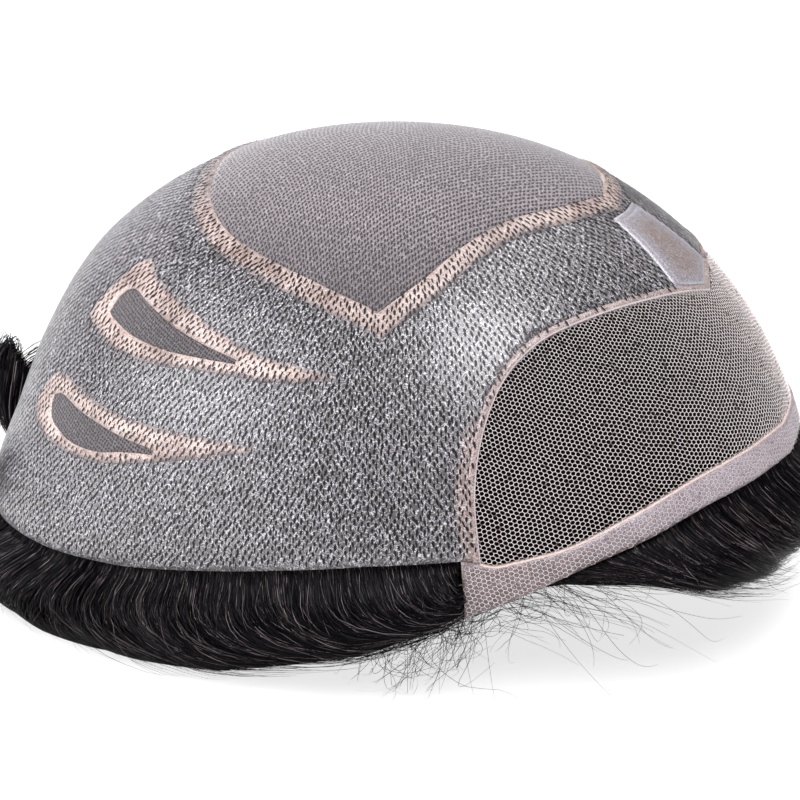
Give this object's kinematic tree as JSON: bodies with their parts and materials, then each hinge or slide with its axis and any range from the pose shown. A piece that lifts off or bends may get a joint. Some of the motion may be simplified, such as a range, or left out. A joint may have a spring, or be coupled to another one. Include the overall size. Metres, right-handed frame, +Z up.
{
  "type": "toupee hairpiece",
  "caption": "Men's hair system lying scalp side out: domed base of clear skin with crown mesh, side vents and a lace front, over a dark fringe of hair that it rests on",
  "frame": {"origin": "middle of the bounding box on the surface that the hair rests on", "axes": "X points to the front of the head (the lace hairline), Y to its left side, Z up through the crown"},
  "size_m": [0.2036, 0.1476, 0.099],
  "materials": {
    "clear_skin": "thin clear polyurethane over net, glossy, with dark dashes of knotted hair",
    "fine_mesh": "fine single-thread mesh over dark hair",
    "tan_band": "doubled net glued under skin, tan, half matt",
    "open_lace": "open six-sided lace, pale threads over black hair",
    "folded_lace": "folded and glued lace edge, pinkish beige",
    "black_hair": "near-black hair with soft brown sheen"
  },
  "bodies": {
    "root": {"base_skin": "clear_skin", "crown_mesh": "fine_mesh", "crown_band": "tan_band", "front_lace": "open_lace", "lace_welt": "tan_band", "front_strip": "folded_lace", "front_bridge": "clear_skin", "vent_mesh_upper_right": "fine_mesh", "vent_band_upper_right": "tan_band", "vent_mesh_lower_right": "fine_mesh", "vent_band_lower_right": "tan_band", "vent_mesh_upper_left": "fine_mesh", "vent_band_upper_left": "tan_band", "vent_mesh_lower_left": "fine_mesh", "vent_band_lower_left": "tan_band", "hair_lining": "black_hair", "hair_fringe": "black_hair"}
  },
  "joints": []
}
